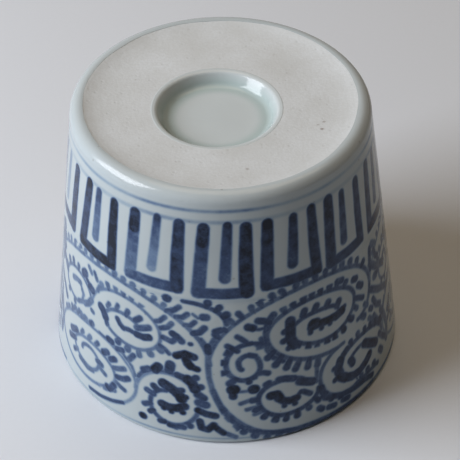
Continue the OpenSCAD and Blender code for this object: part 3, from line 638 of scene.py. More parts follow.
class Field:
    """Ink on a patch of the wall, as a grid over angle and height."""

    def __init__(self, degrees, heights, radius, softness):
        self.degrees, self.heights, self.softness = degrees, heights, softness
        self.scale = np.radians(1) * radius
        self.ink = np.zeros((len(degrees), len(heights)))

    def stroke(self, points, half, strength, wipe=False):
        """Lays one brush stroke, or wipes ink off along it. Ink stands at its strength within half a width
        of the line between the points and eases to nothing over the softness. Half widths and strengths run
        from point to point."""
        at = np.asarray(points, float) * (self.scale, MM)
        half = np.broadcast_to(half, len(at))
        strength = np.broadcast_to(strength, len(at))
        reach = half.max() + self.softness
        x, y = self.degrees * self.scale, self.heights
        low, high = at.min(0) - reach, at.max(0) + reach
        columns = slice(*np.searchsorted(x, (low[0], high[0])))
        rows = slice(*np.searchsorted(y, (low[1], high[1])))
        patch = self.ink[columns, rows]
        if not patch.size:
            return
        gx, gy = np.meshgrid(x[columns], y[rows], indexing="ij")
        laid = np.zeros_like(patch)
        for p, q, h0, h1, s0, s1 in zip(at, at[1:], half, half[1:], strength, strength[1:]):
            run = q - p
            t = ((gx - p[0]) * run[0] + (gy - p[1]) * run[1]) / max(run @ run, 1e-18)
            t = np.clip(t, 0, 1)
            away = np.hypot(gx - p[0] - t * run[0], gy - p[1] - t * run[1])
            inside = ease((h0 + (h1 - h0) * t - away) / self.softness + 0.5)
            np.maximum(laid, inside * (s0 + (s1 - s0) * t), out=laid)
        patch[:] = patch * (1 - laid) if wipe else np.maximum(patch, laid)


def turning_line(first_level, turns):
    """A brush line through turning points that are level and upright by turns: between two of them it is a
    quarter of an ellipse whose centre is level with one and upright over the other."""
    turns = np.asarray(turns, float)
    s = np.radians(np.linspace(0, 90, QUARTER + 1))[:-1]
    grow, stay = np.sin(s), 1 - np.cos(s)
    parts = []
    for i, (p, q) in enumerate(zip(turns, turns[1:])):
        across, up = (grow, stay) if (i + first_level) % 2 else (stay, grow)
        parts.append(p + (q - p) * np.stack([across, up], -1))
    return np.concatenate(parts + [turns[-1:]])


class BrushLine:
    """A turning line on a field: its points, their distances along it, and the way to its outer side.
    A line wider than the thinnest one grows outwards, so that its inner edge stays in place."""

    def __init__(self, pair, line):
        first_level, turns, halves, strengths, white, self.rows = line
        self.field, self.squeeze, brush = pair.field, pair.squeeze, pair.brush
        points = pair.place(turning_line(first_level, turns))
        self.count = np.arange(len(points))
        self.half = np.linspace(*halves, len(points)) * MM * self.squeeze * brush.line_weight
        self.strength = np.linspace(*strengths, len(points))
        self.white = white * MM * self.squeeze
        self.thin = THIN_LINE * self.squeeze
        self.flat = points * (self.field.scale, MM)
        steps = np.linalg.norm(np.diff(self.flat, axis=0), axis=1)
        self.length = np.concatenate([[0], np.cumsum(steps)])
        run = np.gradient(self.flat, axis=0)
        run /= np.linalg.norm(run, axis=1, keepdims=True)
        bend = np.gradient(np.unwrap(np.arctan2(run[:, 1], run[:, 0])))
        self.outer = np.stack([-run[:, 1], run[:, 0]], -1) * -np.sign(bend)[:, None]

    def lay(self, shift, half, strength, wipe=False):
        """Lays or wipes a stroke along the line, moved outwards by the shift, a quarter at a time."""
        points = (self.flat + self.outer * np.reshape(shift, (-1, 1))) / (self.field.scale, MM)
        half, strength = (np.broadcast_to(v, len(points)) for v in (half, strength))
        for i in range(0, len(points) - 1, QUARTER):
            part = slice(i, i + QUARTER + 1)
            self.field.stroke(points[part], half[part], strength[part], wipe)

    def lay_line(self):
        """Lays the line itself."""
        self.lay(self.half - self.thin, self.half, self.strength)

    def wipe_tendril(self):
        """Wipes the white tendril clear along the line's inner side."""
        if self.white:
            self.lay(-self.thin - self.white, self.white, 1.0, True)

    def dab_teeth(self, gap, weight, rng):
        """Dabs rows of teeth on the outer side, each about square to the line, at an even distance."""
        size = MM * self.squeeze * weight
        for start, end, reach, width in self.rows:
            a, b = (np.interp(e * QUARTER, self.count, self.length) for e in (start, end))
            number_of = max(round((b - a) / (gap * self.squeeze)), 1)
            for at in a + (np.arange(number_of) + 0.5) * (b - a) / number_of:
                foot, way = (np.array([np.interp(at, self.length, v[:, c]) for c in range(2)])
                             for v in (self.flat, self.outer))
                way /= np.linalg.norm(way)
                lean = np.array([-way[1], way[0]]) * rng.normal(0, TOOTH_LEAN)
                thick = rng.uniform(*TOOTH_THICK) * width / 2 * size
                far = max(reach * rng.uniform(*TOOTH_REACH) * size - thick, TOOTH_SHORTEST)
                dark = min(np.interp(at, self.length, self.strength) * rng.uniform(*TOOTH_DARK), 1.0)
                ends = np.stack([foot, foot + (way + lean) * far]) / (self.field.scale, MM)
                self.field.stroke(ends, (TOOTH_ROOT * thick, thick), dark)


class ScrollPair:
    """A pair of scrolls on a field, from its start angle, with its angles narrowed by its width factor and
    its strokes by a share of that."""

    def __init__(self, field, brush, start, width):
        self.field, self.brush, self.start, self.width = field, brush, start, width
        self.squeeze = 1 - STROKE_SHARE + STROKE_SHARE * width
        self.lines = [BrushLine(self, line) for line in LINES]

    def place(self, points):
        """Points with their angles put in place."""
        points = np.array(points, float)
        points[:, 0] = self.start + (points[:, 0] - PAIR_START) * self.width
        return points

    def stroke(self, points, half, strength, wipe=False):
        """Lays or wipes one stroke of the pair."""
        self.field.stroke(self.place(points), half * MM * self.squeeze, strength, wipe)

    def dab_teeth(self):
        """Dabs the teeth of all lines."""
        rng = np.random.default_rng(self.brush.seed)
        for line in self.lines:
            line.dab_teeth(self.brush.tooth_gap, self.brush.tooth_weight, rng)

    def wipe_tendrils(self):
        """Wipes the white tendrils clear."""
        for line in self.lines:
            line.wipe_tendril()
        for half, points in TENDRILS:
            self.stroke(points, half, 1.0, True)

    def lay_strokes(self):
        """Lays lines, heavy strokes and dabs."""
        for line in self.lines:
            line.lay_line()
        for half, strength, points in COMMAS:
            self.stroke(points, half, strength)
        for angle, height, half, strength in DABS:
            self.stroke(((angle, height), (angle + 0.3, height)), half, strength)


def paint_scrolls(field, brush, start, span):
    """Paints the pairs of scrolls that may reach into a field, in order round the cup: all teeth first, then
    the white tendrils wiped clear beside the lines, then lines, heavy strokes and dabs."""
    near = []
    for _, begin, width in PAIRS:
        for at in (begin - 360, begin, begin + 360):
            if start - width - OVERHANG < at < start + span + OVERHANG:
                near.append((at, width / FRONT_SPAN))
    pairs = [ScrollPair(field, brush, *place) for place in sorted(near)]
    for part in (ScrollPair.dab_teeth, ScrollPair.wipe_tendrils, ScrollPair.lay_strokes):
        for pair in pairs:
            part(pair)


def paint_ring_line(field, height, half, strength, waver):
    """Paints a line right round the cup, that rises and falls by the waver as the hand does."""
    steps, stretch = 180, 6
    degrees = np.linspace(field.degrees[0], field.degrees[-1], steps + 1)
    turn = np.radians(degrees)
    rise = waver * waves(turn, (2, 1, 1), (5, 2, 0.6), (9, 0, 0.4))
    weight = strength * (1 + waves(turn, (3, 2.2, 0.35), (11, 0, 0.2)))
    points = np.stack([degrees, (height + rise) / MM], -1)
    for i in range(0, steps, stretch):
        part = slice(i, i + stretch + 1)
        field.stroke(points[part], half, np.clip(weight[part], 0, 1))


def lappets(brush):
    """The lappets brushed one by one at the front, then the rest, spread evenly over the back, where each
    number strays a little."""
    loose, close, tint = 0.5, 0.4, 0.08
    rng = np.random.default_rng(brush.seed + 1)
    rows = list(FRONT_LAPPETS)
    first, last = FRONT_LAPPETS[-1][0], FRONT_LAPPETS[0][0] + 360
    count = LAPPETS_ROUND - len(rows)
    pitch = (last - first) / (count + 1)
    for i in range(count):
        left = first + pitch * (i + 1) + rng.normal(0, loose)
        bar = left + BACK_BAR + rng.normal(0, loose)
        right = left + BACK_RIGHT + rng.normal(0, close)
        lean = rng.normal(BACK_LEAN, close)
        shades = np.clip(rng.normal(BACK_SHADES, tint), 0.4, 1.0)
        low = BACK_LOW + rng.normal(0, loose)
        bar_end = BACK_BAR_END + rng.normal(0, close)
        rows.append((left, left + lean[0], bar, bar + lean[1], right, right + lean[2], low, bar_end, *shades))
    return rows


def paint_lappet(field, brush, row, rng):
    """Paints a U of two leaning legs and a heavy base with squared corners, and the bar that hangs in it, for
    each turn that meets the field, since its angles may run past a full turn. The left leg pales where the
    brush ran dry."""
    *angles, low, bar_end = row[:8]
    dark_left, dark_foot, dark_base, dark_right, dark_bar, dark_end = row[8:]
    half, base = brush.leg / 2, brush.base / 2
    left_top, bar_top, right_top = brush.band_line / MM + rng.normal(*STROKE_TOPS, 3)
    left_half, bar_half, right_half = half * rng.uniform(*STROKE_WIDTHS, 3)
    bottom = low + base / MM
    inset = (half - CORNER) / field.scale
    dry = (left_top - DRY_FROM) / (left_top - bottom)
    left_corner, right_corner = (dark_foot + dark_base) / 2, (dark_base + dark_right) / 2
    for turn in (0, -360):
        left, left_foot, bar, bar_foot, right, right_foot = (angle + turn for angle in angles)
        run = left_foot - left
        field.stroke(
            ((left, left_top), (left + run * dry, DRY_FROM), (left + run * (dry + 0.1), DRY_TO),
             (left_foot, bottom)),
            np.multiply(LEFT_PRESSURE, left_half),
            (dark_left, dark_left * 0.97, 0.35 * dark_left + 0.65 * dark_foot, dark_foot))
        field.stroke(
            ((left_foot, bottom), ((left_foot + right_foot) / 2, bottom - 0.1), (right_foot, bottom)),
            base, (left_corner, dark_base, right_corner))
        field.stroke(
            ((right_foot, bottom), ((right + right_foot) / 2 - 0.2, RIGHT_BEND), (right, right_top)),
            np.multiply(RIGHT_PRESSURE, right_half),
            (dark_right, dark_right, dark_right * 1.02))
        for at, dark in ((left_foot - inset, left_corner), (right_foot + inset, dark_right)):
            field.stroke(((at, low + CORNER_RISE), (at, low + CORNER / MM)), CORNER, dark)
        field.stroke(
            ((bar, bar_top), ((bar + bar_foot) / 2, BAR_BEND), (bar_foot, bar_end + half / MM)),
            np.multiply(BAR_PRESSURE, bar_half),
            (dark_bar, 0.4 * dark_bar + 0.6 * dark_end, dark_end))


def node(tree, kind, inputs=None, **settings):
    """A new shader node, with settings, and inputs that are values or other nodes' outputs."""
    made = tree.nodes.new(kind)
    for name, value in settings.items():
        setattr(made, name, value)
    for name, value in (inputs or {}).items():
        if isinstance(value, bpy.types.NodeSocket):
            tree.links.new(value, made.inputs[name])
        else:
            made.inputs[name].default_value = value
    return made


def object_place(tree):
    """Output of a point's place on the object."""
    return node(tree, "ShaderNodeTexCoord").outputs["Object"]


def noise(tree, scale, detail):
    """Output of a noise over the object."""
    return node(tree, "ShaderNodeTexNoise", {
        "Vector": object_place(tree), "Scale": scale, "Detail": detail}).outputs["Fac"]


def carried(tree, label):
    """Output of a value that the mesh carries at its points."""
    return node(tree, "ShaderNodeAttribute", attribute_name=label).outputs["Fac"]


def mixed(tree, factor, first, second, blend="MIX"):
    """Output of a colour mix of two colours."""
    return node(tree, "ShaderNodeMix", {0: factor, 6: first, 7: second},
                data_type="RGBA", blend_type=blend).outputs[2]


def maths(tree, operation, first, second, clamp=False):
    """Output of an operation on two numbers."""
    return node(tree, "ShaderNodeMath", {0: first, 1: second},
                operation=operation, use_clamp=clamp).outputs[0]


def ranged(tree, value, span, to):
    """Output of a value carried from one range to another and held within it."""
    return node(tree, "ShaderNodeMapRange", {
        "Value": value, "From Min": span[0], "From Max": span[1],
        "To Min": to[0], "To Max": to[1]}).outputs["Result"]


def tilted(tree, shader, height, strength, distance):
    """Tilts a shader's face by the slopes of a height."""
    tilt = node(tree, "ShaderNodeBump", {"Height": height, "Strength": strength, "Distance": distance})
    tree.links.new(tilt.outputs["Normal"], shader.inputs["Normal"])


def rgba(paint, share=1.0):
    """A colour, or a share of each of its parts, with full alpha."""
    return (*np.multiply(tuple(paint), share).tolist(), 1.0)


def grouped(tree, build, **values):
    """A node of the group that the function fills, which has its name and is filled on its first use."""
    group = bpy.data.node_groups.get(build.__name__)
    if not group:
        group = bpy.data.node_groups.new(build.__name__, "ShaderNodeTree")
        build(group)
    return node(tree, "ShaderNodeGroup", values, node_tree=group)


def sockets(tree, inputs, outputs):
    """Gives a group named sockets, and gives back its input and output nodes."""
    for label, kind, value in inputs:
        tree.interface.new_socket(label, in_out="INPUT", socket_type=kind).default_value = value
    for label, kind in outputs:
        tree.interface.new_socket(label, in_out="OUTPUT", socket_type=kind)
    return tree.nodes.new("NodeGroupInput").outputs, tree.nodes.new("NodeGroupOutput").inputs


def uneven_glaze(tree):
    """Soft clouds and fine ripples of a hand-dipped glaze, as two numbers about one half."""
    into, out = sockets(
        tree, (("Cloud", "NodeSocketFloat", 60.0), ("Ripple", "NodeSocketFloat", 450.0)),
        (("Clouds", "NodeSocketFloat"), ("Ripples", "NodeSocketFloat")))
    tree.links.new(noise(tree, into["Cloud"], 3.0), out["Clouds"])
    tree.links.new(noise(tree, into["Ripple"], 2.0), out["Ripples"])


def cobalt_under_glaze(tree):
    """Cobalt seen through glaze. Ink thins and gathers in small grains, then its depth picks the share of
    light that comes back, from pale grey blue to blue black, and that share multiplies the glaze's colour."""
    into, out = sockets(
        tree, (("Ink", "NodeSocketFloat", 0.0), ("Glaze", "NodeSocketColor", (1, 1, 1, 1))),
        (("Colour", "NodeSocketColor"),))
    pools = ranged(tree, noise(tree, 420.0, 3.0), NOISE_SPAN, (0.84, 1.12))
    grains = ranged(tree, noise(tree, 1700.0, 2.0), NOISE_SPAN, (-0.05, 0.05))
    depth = maths(tree, "MULTIPLY", into["Ink"], maths(tree, "ADD", pools, grains))
    ramp = node(tree, "ShaderNodeValToRGB", {"Fac": depth})
    stops = ramp.color_ramp.elements
    while len(stops) < len(INK_STOPS):
        stops.new(0.5)
    for stop, (position, share) in zip(stops, INK_STOPS):
        stop.position, stop.color = position, rgba(share)
    tree.links.new(mixed(tree, 1.0, into["Glaze"], ramp.outputs["Color"], "MULTIPLY"), out["Colour"])


def fine_specks(tree):
    """Fine specks: cells whose size is drawn at random, so that only a few show as small dots."""
    into, out = sockets(
        tree, (("Scale", "NodeSocketFloat", 500.0), ("Share", "NodeSocketFloat", 0.2)),
        (("Mask", "NodeSocketFloat"),))
    cells = node(tree, "ShaderNodeTexVoronoi", {"Vector": object_place(tree), "Scale": into["Scale"]})
    chosen = node(tree, "ShaderNodeSeparateColor", {"Color": cells.outputs["Color"]}).outputs[0]
    limit = maths(tree, "MULTIPLY", maths(tree, "LESS_THAN", chosen, into["Share"]), 0.3)
    away = maths(tree, "SUBTRACT", limit, cells.outputs["Distance"])
    tree.links.new(ranged(tree, away, (0.0, 0.15), (0.0, 1.0)), out["Mask"])


def finished(name, build, settings):
    """The material of that name, whose nodes the function lays on its first use."""
    found = bpy.data.materials.get(name)
    if found:
        return found
    made = bpy.data.materials.new(name)
    made.use_nodes = True
    tree = made.node_tree
    build(tree, tree.nodes["Principled BSDF"], settings)
    return made


def glaze_finish(tree, shader, uneven, rough=(0.1, 0.2), bump=0.06, gloss=0.4):
    """Gloss of a hand-dipped glaze: clouds change its roughness a little, ripples tilt its face."""
    clouds, ripples = uneven.outputs["Clouds"], uneven.outputs["Ripples"]
    tree.links.new(ranged(tree, clouds, NOISE_SPAN, rough), shader.inputs["Roughness"])
    tilted(tree, shader, maths(tree, "ADD", clouds, maths(tree, "MULTIPLY", ripples, 0.25)), bump, 2 * MM)
    shader.inputs["IOR"].default_value = 1.5
    shader.inputs["Specular IOR Level"].default_value = gloss


def glaze_colour(tree, colours, uneven):
    """Clear glaze, bluer where it runs thick: towards the lip, and in clouds."""
    height = node(tree, "ShaderNodeSeparateXYZ", {"Vector": object_place(tree)}).outputs["Z"]
    low = ranged(tree, height, (0.0, 62 * MM), (0.3, 0.1))
    cloud = ranged(tree, uneven.outputs["Clouds"], NOISE_SPAN, (-0.25, 0.25))
    thick = maths(tree, "ADD", low, cloud, True)
    base = mixed(tree, thick, rgba(colours.glaze), rgba(colours.glaze_deep))
    specks = grouped(tree, fine_specks, Scale=900.0, Share=0.012)
    return mixed(tree, maths(tree, "MULTIPLY", specks.outputs["Mask"], 0.3), base, rgba(colours.iron))


def clear_glaze(tree, shader, colours):
    """Clear bluish glaze over white porcelain."""
    uneven = grouped(tree, uneven_glaze)
    tree.links.new(glaze_colour(tree, colours, uneven), shader.inputs["Base Color"])
    glaze_finish(tree, shader, uneven)


def painted_glaze(tree, shader, colours):
    """Clear glaze over cobalt brushwork, which the mesh carries as its ink."""
    uneven = grouped(tree, uneven_glaze)
    clear = glaze_colour(tree, colours, uneven)
    cobalt = grouped(tree, cobalt_under_glaze, Ink=carried(tree, "ink"), Glaze=clear)
    tree.links.new(cobalt.outputs["Colour"], shader.inputs["Base Color"])
    glaze_finish(tree, shader, uneven, gloss=0.2)


def green_glaze(tree, shader, colours):
    """Pale green glaze, deeper in colour where it ran thick at the foot of the well's wall."""
    uneven = grouped(tree, uneven_glaze)
    clouds = ranged(tree, uneven.outputs["Clouds"], NOISE_SPAN, (0.0, 0.35))
    pale = mixed(tree, clouds, rgba(colours.celadon), rgba(colours.glaze))
    deep = mixed(tree, carried(tree, "depth"), pale, rgba(colours.celadon, (0.72, 0.80, 0.78)))
    tree.links.new(deep, shader.inputs["Base Color"])
    glaze_finish(tree, shader, uneven, (0.06, 0.14), 0.05)


def bare_clay(tree, shader, colours):
    """Matte wiped clay: fine grain, faint turning marks, small pits and a few iron specks."""
    grain = noise(tree, 1500.0, 4.0)
    patches = noise(tree, 110.0, 3.0)
    rings = node(tree, "ShaderNodeTexWave", {
        "Vector": object_place(tree), "Scale": 160.0, "Distortion": 3.0, "Detail": 2.0},
        wave_type="RINGS", rings_direction="Z").outputs["Fac"]
    pits = grouped(tree, fine_specks, Scale=700.0, Share=0.22).outputs["Mask"]
    dull = rgba(colours.clay, (0.88, 0.86, 0.82))
    base = mixed(tree, ranged(tree, patches, NOISE_SPAN, (0.0, 0.6)), rgba(colours.clay, 1.1), dull)
    base = mixed(tree, ranged(tree, grain, (0.35, 0.7), (0.0, 0.35)), base, dull)
    base = mixed(tree, maths(tree, "MULTIPLY", pits, 0.1), base, rgba(colours.clay, 0.55))
    base = mixed(tree, carried(tree, "spot"), base, rgba(colours.iron))
    tree.links.new(base, shader.inputs["Base Color"])
    shader.inputs["Roughness"].default_value = 0.8
    relief = maths(tree, "ADD", grain, maths(tree, "MULTIPLY", rings, 0.12))
    tilted(tree, shader, maths(tree, "SUBTRACT", relief, pits), 0.12, 0.4 * MM)


def pale_floor(tree, shader, stage):
    """Pale matte paper with a faint tooth."""
    tooth = ranged(tree, noise(tree, 900.0, 2.0), NOISE_SPAN, (0.0, 0.3))
    tint = mixed(tree, tooth, rgba(stage.floor), rgba(stage.floor, 0.97))
    tree.links.new(tint, shader.inputs["Base Color"])
    shader.inputs["Roughness"].default_value = 0.85
    shader.inputs["Specular IOR Level"].default_value = 0.2


def painted_wall(name, shape, colours, field):
    """A zone of the wall with its ink: rows of the outer face from the lowest up, then two inner rows that
    carry none."""
    outer = np.stack([outer_radius(shape, field.heights), field.heights], -1)
    inner = outer[[-1, 0]] - (shape.glaze, 0)
    points, faces = turned(np.concatenate([outer, inner]), field.degrees, True)
    ink = np.pad(field.ink, ((0, 0), (0, len(inner)))).ravel()[:len(points)]
    material = finished("painted_glaze_gloss", painted_glaze, colours)
    return add_piece(name, hand_thrown(shape, points), faces, material, ink=ink)


class CUP_OT_foot_rim(Operator):
    """Make the glazed rim of the foot: slope, crest and rounded shoulder"""
    bl_idname = "cup.foot_rim"
    bl_label = "Foot rim"

    def execute(self, context):
        shape, foot, colours = context.scene.cup_shape, context.scene.cup_foot, context.scene.cup_colours
        tilt = wall_tilt(shape)
        touch = shape.height - foot.shoulder * (1 - np.sin(tilt))
        crest = wall_radius(shape, touch) - foot.shoulder * np.cos(tilt)
        inner, edge_step, waver_reach = foot.ring / 2, 0.04 * MM, 1.2 * MM
        # The slope rises as a sine to a power, so that it leaves the ring gently and ends level.
        s = np.linspace(0, 1, 25)
        low = ring_height(shape, foot, inner) + edge_step
        slope_z = low + (shape.height - low) * np.sin(s * np.pi / 2) ** 1.6
        slope = np.stack([inner + (crest - inner) * s, slope_z], -1)
        shoulder = arc((crest, shape.height - foot.shoulder), foot.shoulder, np.pi / 2, tilt, 33)[1:]
        z = np.linspace(touch, BAND_TOP, 4)[1:]
        wall = np.stack([wall_radius(shape, z), z], -1)
        path = np.concatenate([slope, shoulder, wall])
        # The glaze is a quarter as thick at its inner edge, which wavers, as it was wiped by hand.
        thickness = shape.glaze * np.clip(0.25 + np.arange(len(path)) / 20, 0, 1)
        points, faces = turned(shell(path, thickness), full_circle(720), True)
        angle = np.arctan2(points[:, 0], -points[:, 1])
        near = ease(1 - (np.hypot(points[:, 0], points[:, 1]) - inner) / waver_reach)
        edge = waves(angle, (3, 1, 0.1 * MM), (7, 2, 0.06 * MM), (17, 0, 0.04 * MM))
        points[:, :2] *= 1 + (near * edge / inner)[:, None]
        material = finished("clear_glaze_gloss", clear_glaze, colours)
        piece = add_piece("foot_rim_glaze", hand_thrown(shape, points), faces, material)
        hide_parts("glaze_coat")
        return {"FINISHED"}


class CUP_OT_lappet_band(Operator):
    """Make the upper wall with its ring lines and row of lappets"""
    bl_idname = "cup.lappet_band"
    bl_label = "Lappet band"

    def execute(self, context):
        shape, brush, colours = context.scene.cup_shape, context.scene.cup_brush, context.scene.cup_colours
        columns, rows = BAND_GRID
        heights = np.linspace(FIELD_TOP, BAND_TOP, rows)
        field = Field(full_circle(columns - 1), heights, wall_radius(shape, BAND_MIDDLE), brush.softness)
        paint_scrolls(field, brush, -180, 360)
        rng = np.random.default_rng(brush.seed + 2)
        for row in lappets(brush):
            paint_lappet(field, brush, row, rng)
        paint_ring_line(field, brush.foot_line, *FOOT_LINE)
        paint_ring_line(field, brush.band_line, *BAND_LINE)
        paint_ring_line(field, FAINT_ON_BAND, *FAINT_LINE)
        piece = painted_wall("painted_lappet_band", shape, colours, field)
        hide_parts("foot_line", "band_line", "lappet_frames", "lappet_bars")
        return {"FINISHED"}


class CUP_OT_scroll_fields(Operator):
    """Make the lower wall in three fields, each with its pair of octopus scrolls and the lip line"""
    bl_idname = "cup.scroll_fields"
    bl_label = "Scroll fields"

    def execute(self, context):
        shape, brush, colours = context.scene.cup_shape, context.scene.cup_brush, context.scene.cup_colours
        for name, start, span in PAIRS:
            columns, rows = FRONT_GRID if name == "scroll_front" else BACK_GRID
            degrees = np.linspace(start, start + span, columns)
            heights = np.linspace(FIELD_END, FIELD_TOP, rows)
            field = Field(degrees, heights, wall_radius(shape, FIELD_MIDDLE), brush.softness)
            paint_scrolls(field, brush, start, span)
            paint_ring_line(field, brush.lip_line, *LIP_LINE)
            paint_ring_line(field, FAINT_ON_FIELD, *FAINT_LINE)
            piece = painted_wall("painted_" + name, shape, colours, field)
            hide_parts(name)
            if name == "scroll_front":
                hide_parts("lip_line")
        return {"FINISHED"}


class CUP_OT_lip_and_inside(Operator):
    """Make the glaze of the lip, the inner wall and the inner floor"""
    bl_idname = "cup.lip_and_inside"
    bl_label = "Lip and inside"

    def execute(self, context):
        shape, colours = context.scene.cup_shape, context.scene.cup_colours
        r, inner, bend = shape.lip_round, np.arctan(shape.inner_taper), shape.floor_round
        begin = -np.arcsin((r - FIELD_END) / r)
        lip_out = arc((lip_centre(shape)[0], r), r, begin, -np.pi / 2, 9)
        mouth = shape.mouth / 2 - shape.lip
        inner_mid = mouth - shape.inner_taper * (r - r * np.sin(inner)) + r * np.cos(inner)
        lip_in = arc((inner_mid, r), r, -np.pi / 2, inner - np.pi, 13)
        low = shape.floor_height - bend
        meet = low + bend * np.sin(inner)
        middle = mouth - shape.inner_taper * meet - bend * np.cos(inner)
        z = np.linspace(lip_in[-1, 1], meet, 60)[1:-1]
        wall = np.stack([mouth - shape.inner_taper * z, z], -1)
        rounded = arc((middle, low), bend, inner, np.pi / 2, 33)
        flat_r = np.linspace(middle, 0, 14)[1:]
        flat = np.stack([flat_r, np.full_like(flat_r, shape.floor_height)], -1)
        path = np.concatenate([lip_out, lip_in, wall, rounded, flat])
        points, faces = turned_skin(path, shape.glaze, 360)
        material = finished("clear_glaze_gloss", clear_glaze, colours)
        piece = add_piece("lip_and_inside_glaze", hand_thrown(shape, points), faces, material)
        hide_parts("glaze_coat")
        return {"FINISHED"}


class CUP_OT_clay_body(Operator):
    """Make the clay body, which shows at the bare ring of the foot"""
    bl_idname = "cup.clay_body"
    bl_label = "Clay body"

    def execute(self, context):
        shape, foot, colours = context.scene.cup_shape, context.scene.cup_foot, context.scene.cup_colours
        under, well_under, lip_under = 0.25 * MM, 0.2 * MM, 2 * MM
        top, roof = shape.height, shape.floor_height + under
        well = well_path(shape, foot, well_under)[::-1]
        # The ring starts just outside the well's edge, and its end runs on under the glaze of the rim.
        ring_r = np.linspace(well[-1, 0] + 0.15 * MM, foot.ring / 2 + 0.5 * MM, 56)
        ring = np.stack([ring_r, ring_height(shape, foot, ring_r)], -1)
        edge = wall_radius(shape, top)
        rim = np.array([[edge - 1.85 * MM, top - 3 * under], [edge - under, top - 1.6 * MM]])
        z = np.linspace(top - 4 * MM, lip_under, 24)
        wall = np.stack([wall_radius(shape, z) - under, z], -1)
        inner_z = np.linspace(lip_under, shape.floor_height - shape.floor_round, 12)
        inner = np.stack([shape.mouth / 2 - shape.lip - shape.inner_taper * inner_z + under, inner_z], -1)
        bend = inner[-1, 0]
        upper = np.array([[bend - 3 * MM, shape.floor_height - 2 * MM], [bend - shape.floor_round, roof],
                          [0, roof]])
        outline = np.concatenate([well, ring, rim, wall, inner, upper])
        points, faces = turned(outline, full_circle(540), False)
        # The well sits off the middle, and the ring takes up the shift over a stretch of its way across.
        still, stretch, blur = 24 * MM, 8 * MM, 0.25 * MM
        away = np.hypot(points[:, 0], points[:, 1])
        at_top = points[:, 2] > top - 5 * MM
        points[:, :2] += (at_top * ease((still - away) / stretch))[:, None] * np.array(foot.well_off)
        spot = np.zeros(len(points))
        for x, y, half, strength in IRON_SPOTS:
            near = np.hypot(points[:, 0] - x * MM, points[:, 1] - y * MM)
            spot = np.maximum(spot, strength * ease((half * MM - near) / blur + 0.5) * at_top)
        material = finished("bare_clay_matte", bare_clay, colours)
        piece = add_piece("bare_clay_body", hand_thrown(shape, points), faces, material, spot=spot)
        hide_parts("porcelain_body")
        return {"FINISHED"}


class CUP_OT_foot_well(Operator):
    """Make the pool of pale green glaze in the well of the foot"""
    bl_idname = "cup.foot_well"
    bl_label = "Foot well"

    def execute(self, context):
        shape, foot, colours = context.scene.cup_shape, context.scene.cup_foot, context.scene.cup_colours
        path = well_path(shape, foot, 0.0)
        # The glaze runs out a little way over the ring, and thins towards its end there.
        lead = path[0] + np.array([[0.55, -0.03], [0.4, 0.03], [0.2, 0.05]]) * MM
        path = np.concatenate([lead, path])
        thickness = -shape.glaze * np.clip(0.2 + np.arange(len(path)) / 8, 0, 1)
        points, faces = turned_skin(path, thickness, 240)
        # Glaze gathers low in the well, but only in a ring along its wall.
        ring, fade = 4.6 * MM, 2.4 * MM
        depth = np.clip((shape.height - foot.ring_drop - points[:, 2]) / foot.well_drop * 1.6 - 0.2, 0, 1)
        away = np.hypot(points[:, 0], points[:, 1])
        depth *= ease((away - foot.well / 2 + ring) / fade)
        points[:, :2] += np.array(foot.well_off)
        material = finished("green_glaze_gloss", green_glaze, colours)
        piece = add_piece("green_well_glaze", hand_thrown(shape, points), faces, material, depth=depth)
        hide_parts("foot_well_glaze")
        return {"FINISHED"}


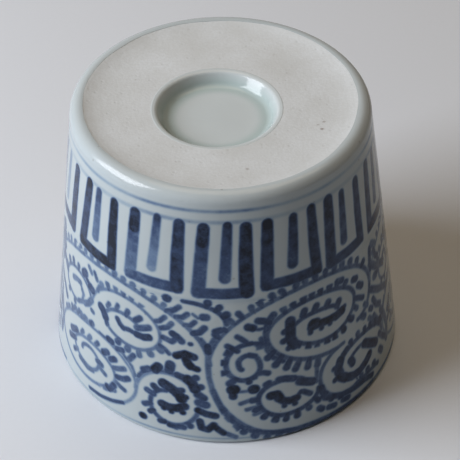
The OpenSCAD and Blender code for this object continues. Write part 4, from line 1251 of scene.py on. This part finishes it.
class CUP_OT_stage(Operator):
    """Set the pale floor, the soft light from the left and the camera"""
    bl_idname = "cup.stage"
    bl_label = "Stage"

    def execute(self, context):
        scene, stage = context.scene, context.scene.cup_stage
        reach, under = 3.0, -0.02
        radius = np.linspace(0, 1, 41) ** 2 * reach
        top = np.stack([radius, np.zeros_like(radius)], -1)
        outline = np.concatenate([top, [[reach, under], [0.0, under]]])
        points, faces = turned(outline, full_circle(96), False)
        new_object("floor", points, faces, finished("pale_floor", pale_floor, stage))
        self.lamp(scene, "window", stage.window, *WINDOW)
        self.lamp(scene, "ceiling", stage.ceiling, *CEILING)
        self.room(scene, stage)
        self.camera(scene, stage)
        scene.view_settings.view_transform = "Standard"
        return {"FINISHED"}

    def lamp(self, scene, name, power, place, size, tint):
        """A square soft light that looks at the cup."""
        light = bpy.data.lights.new(name, "AREA")
        light.shape, light.size = "SQUARE", size
        light.energy, light.color = power, tint
        lamp = bpy.data.objects.new(name, light)
        lamp.location = place
        lamp.rotation_euler = (Vector(LAMP_AIM) - Vector(place)).to_track_quat("-Z", "Y").to_euler()
        scene.collection.objects.link(lamp)

    def room(self, scene, stage):
        """Weak warm light from all round, and a pale room that is only seen and mirrored."""
        scene.world = bpy.data.worlds.new("room")
        scene.world.use_nodes = True
        tree = scene.world.node_tree
        room = tree.nodes["Background"]
        room.inputs["Color"].default_value = rgba(ROOM_LIGHT)
        room.inputs["Strength"].default_value = stage.room
        seen = node(tree, "ShaderNodeBackground", {"Color": rgba(ROOM_SEEN), "Strength": 1.0})
        path = node(tree, "ShaderNodeLightPath").outputs
        shown = maths(tree, "ADD", path["Is Camera Ray"], path["Is Glossy Ray"])
        shown = maths(tree, "MINIMUM", maths(tree, "ADD", shown, path["Is Transmission Ray"]), 1.0)
        both = node(tree, "ShaderNodeMixShader", {0: shown, 1: room.outputs[0], 2: seen.outputs[0]})
        tree.links.new(both.outputs[0], tree.nodes["World Output"].inputs["Surface"])

    def camera(self, scene, stage):
        """Camera that looks at its aim, turned about its view by the roll."""
        view = bpy.data.cameras.new("camera")
        view.sensor_fit, view.sensor_width, view.lens = "HORIZONTAL", 36.0, stage.lens
        view.clip_start = 0.01
        forward = (Vector(stage.aim) - Vector(stage.camera_at)).normalized()
        right = forward.cross(Vector((0, 0, 1))).normalized()
        up = right.cross(forward)
        across = right * np.cos(stage.roll) - up * np.sin(stage.roll)
        upward = up * np.cos(stage.roll) + right * np.sin(stage.roll)
        axes = Matrix((across, upward, -forward)).transposed().to_4x4()
        camera = bpy.data.objects.new("camera", view)
        camera.matrix_world = Matrix.Translation(Vector(stage.camera_at)) @ axes
        scene.collection.objects.link(camera)
        scene.camera = camera


OPERATORS = (
    CUP_OT_clay_body,
    CUP_OT_foot_well,
    CUP_OT_foot_rim,
    CUP_OT_lappet_band,
    CUP_OT_scroll_fields,
    CUP_OT_lip_and_inside,
    CUP_OT_stage,
)
SETTINGS = {
    "cup_shape": CupShape,
    "cup_foot": FootShape,
    "cup_brush": BrushWork,
    "cup_colours": GlazeColours,
    "cup_stage": StageSettings,
}


class CUP_PT_panel(Panel):
    """Lists the cup's sizes, colours and pieces"""
    bl_idname = "CUP_PT_panel"
    bl_label = "Soba choko cup"
    bl_space_type = "VIEW_3D"
    bl_region_type = "UI"
    bl_category = "Cup"

    def draw(self, context):
        for label, group in SETTINGS.items():
            box = self.layout.box()
            for name in group.__annotations__:
                box.prop(getattr(context.scene, label), name)
        for operator in OPERATORS:
            self.layout.operator(operator.bl_idname)


CLASSES = (*SETTINGS.values(), *OPERATORS, CUP_PT_panel)


def register():
    for cls in CLASSES:
        bpy.utils.register_class(cls)
    for label, group in SETTINGS.items():
        setattr(bpy.types.Scene, label, PointerProperty(type=group))


def unregister():
    for label in SETTINGS:
        delattr(bpy.types.Scene, label)
    for cls in reversed(CLASSES):
        bpy.utils.unregister_class(cls)


def main():
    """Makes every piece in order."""
    register()
    for operator in OPERATORS:
        group, name = operator.bl_idname.split(".")
        getattr(getattr(bpy.ops, group), name)()


if __name__ == "__main__":
    main()
